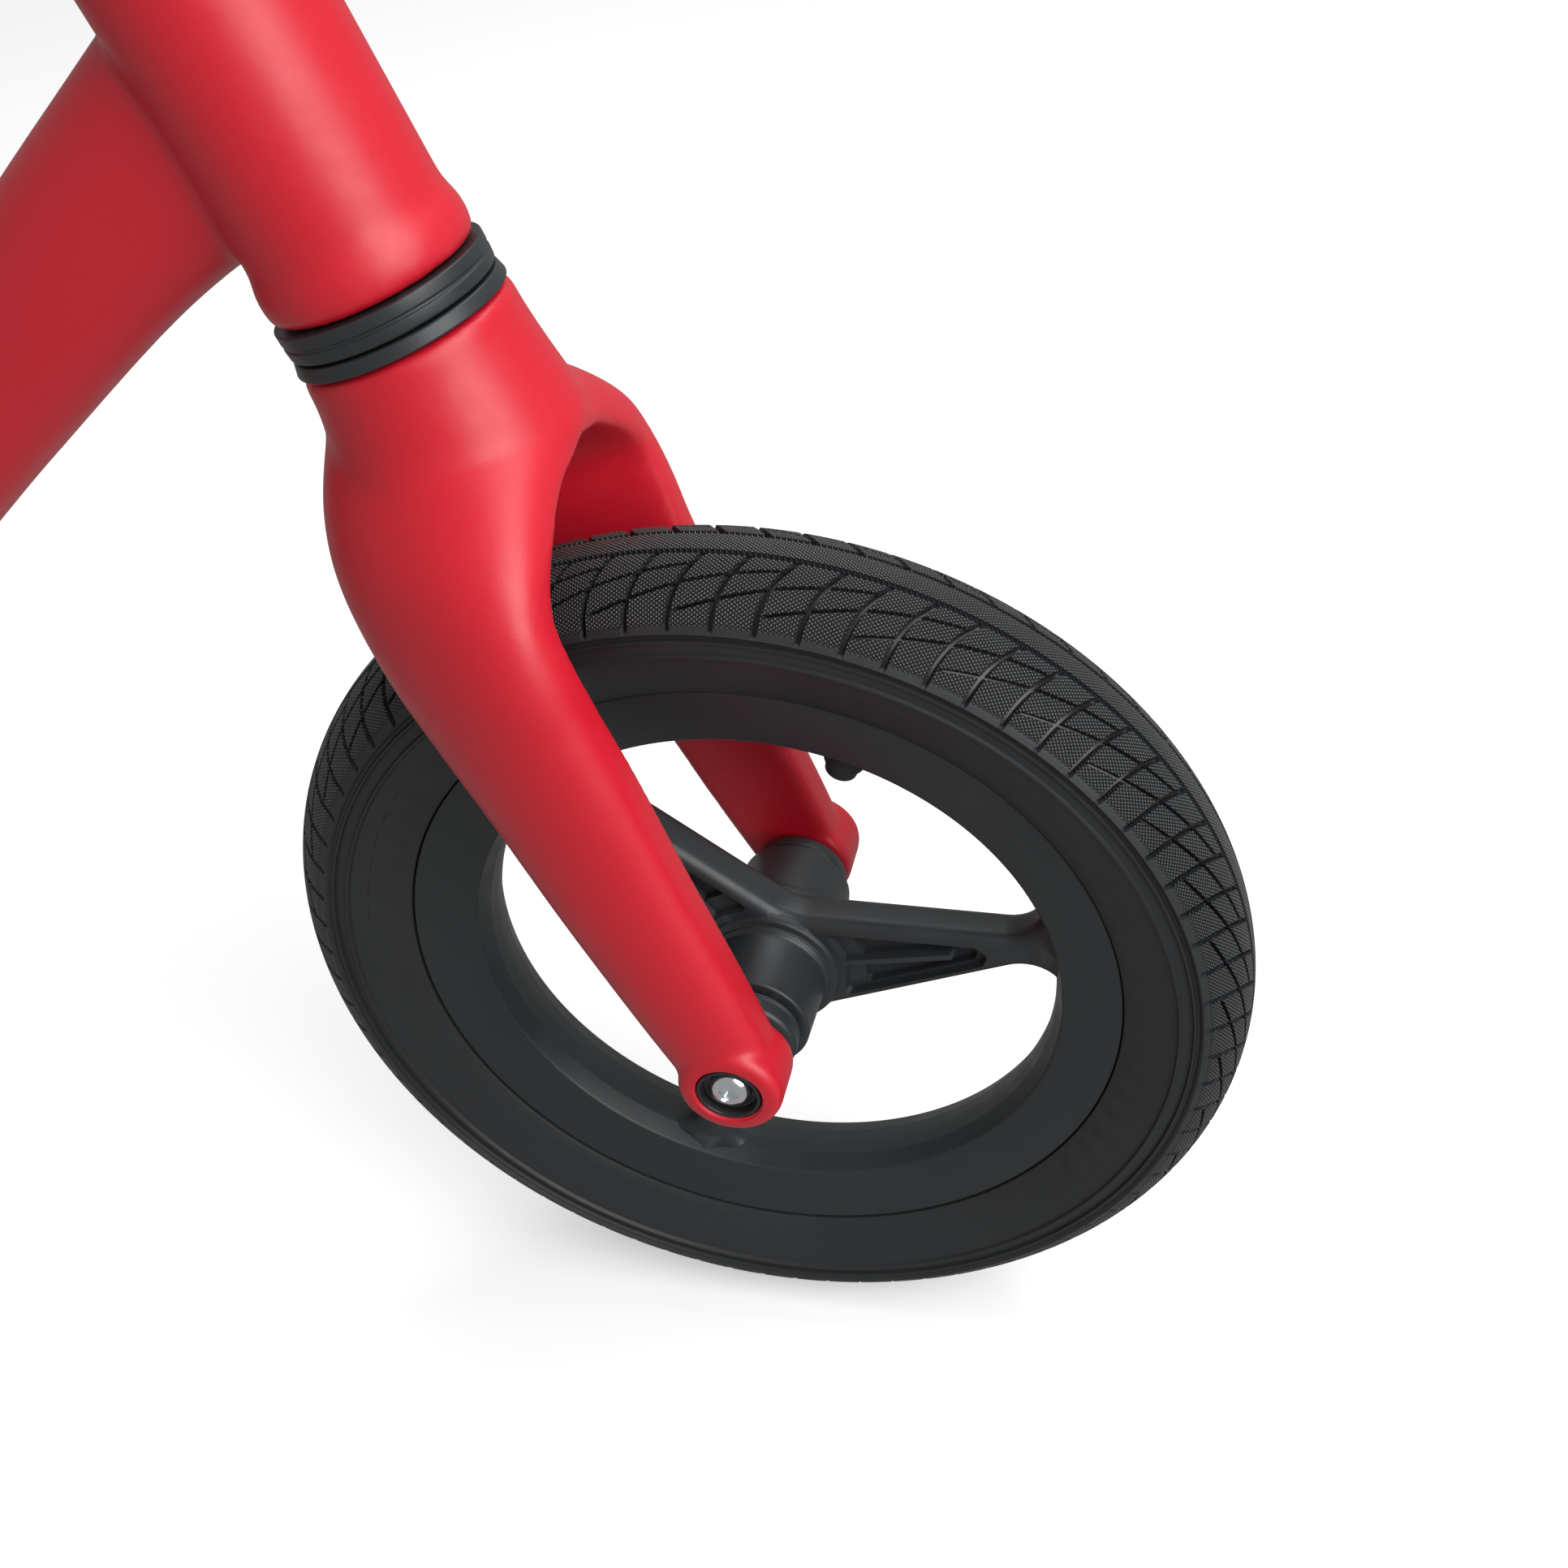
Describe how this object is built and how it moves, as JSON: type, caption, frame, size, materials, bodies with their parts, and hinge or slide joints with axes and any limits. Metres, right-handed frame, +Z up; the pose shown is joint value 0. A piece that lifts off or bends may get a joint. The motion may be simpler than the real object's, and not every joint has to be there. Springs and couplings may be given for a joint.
{
  "type": "balance bike",
  "caption": "Small child's balance bike: cast one-piece frame and fork, moulded three-spoke wheels with air tyres, turning handlebar and a sliding saddle post.",
  "frame": {"origin": "on the floor, midway between the wheels", "axes": "+X riding direction, -Y the rider's right-hand side, +Z up"},
  "size_m": [0.872, 0.4046, 0.6303],
  "materials": {
    "cast_red": "satin powder coat over a magnesium casting",
    "moulded_black": "fine moulded grain",
    "tyre": "matt moulded rubber",
    "soft_rubber": "matt",
    "black_paint": "semi-gloss",
    "zinc": "bright zinc plate",
    "bearing_steel": "ground steel",
    "saddle_cover": "grained vinyl"
  },
  "bodies": {
    "frame": {"frame": "cast_red", "lower_headset_cup": "moulded_black", "upper_headset_cup": "moulded_black", "lower_headset_bearing": "bearing_steel", "upper_headset_bearing": "bearing_steel", "seat_clamp": "black_paint", "seat_clamp_bolt": "zinc", "rear_axle": "bearing_steel", "rear_spacer_right": "moulded_black", "rear_spacer_left": "moulded_black", "rear_axle_cup_right": "black_paint", "rear_axle_cup_left": "black_paint", "rear_axle_bolt_right": "zinc", "rear_axle_bolt_left": "zinc"},
    "steering": {"fork": "cast_red", "steerer_tube": "bearing_steel", "lower_headset_cover": "moulded_black", "upper_headset_cover": "moulded_black", "steerer_clamp": "black_paint", "steerer_clamp_bolt": "zinc", "front_axle": "bearing_steel", "front_spacer_right": "moulded_black", "front_spacer_left": "moulded_black", "front_axle_cup_right": "black_paint", "front_axle_cup_left": "black_paint", "front_axle_bolt_right": "zinc", "front_axle_bolt_left": "zinc"},
    "front_wheel": {"front_wheel": "moulded_black", "front_tyre": "tyre", "front_inner_tube": "soft_rubber", "front_valve": "soft_rubber", "front_bearing_right": "bearing_steel", "front_bearing_left": "bearing_steel"},
    "rear_wheel": {"rear_wheel": "moulded_black", "rear_tyre": "tyre", "rear_inner_tube": "soft_rubber", "rear_valve": "soft_rubber", "rear_bearing_right": "bearing_steel", "rear_bearing_left": "bearing_steel"},
    "handlebar": {"stem": "black_paint", "stem_faceplate": "black_paint", "stem_bolt_upper": "zinc", "stem_bolt_lower": "zinc", "handlebar": "black_paint", "grip_right": "soft_rubber", "grip_left": "soft_rubber"},
    "saddle": {"seatpost": "black_paint", "saddle_clamp_plate": "black_paint", "saddle_clamp_bolt_front": "zinc", "saddle_clamp_bolt_rear": "zinc", "saddle_rails": "bearing_steel", "saddle_pan": "moulded_black", "saddle_cushion": "saddle_cover"}
  },
  "joints": [
    {"name": "steering", "type": "hinge", "parent": "frame", "child": "steering", "pos_m": [0.28, 0, 0.156], "axis": [-0.342, 0, 0.9397], "range_deg": [-45, 45]},
    {"name": "front_wheel_spin", "type": "hinge", "parent": "steering", "child": "front_wheel", "pos_m": [0.28, 0, 0.156], "axis": [0, 1, 0], "continuous": true},
    {"name": "rear_wheel_spin", "type": "hinge", "parent": "frame", "child": "rear_wheel", "pos_m": [-0.28, 0, 0.156], "axis": [0, 1, 0], "continuous": true},
    {"name": "handlebar_height", "type": "slide", "parent": "steering", "child": "handlebar", "axis": [-0.342, 0, 0.9397], "range_m": [-0.03, 0.03]},
    {"name": "saddle_height", "type": "slide", "parent": "frame", "child": "saddle", "axis": [-0.342, 0, 0.9397], "range_m": [0, 0.055]}
  ]
}
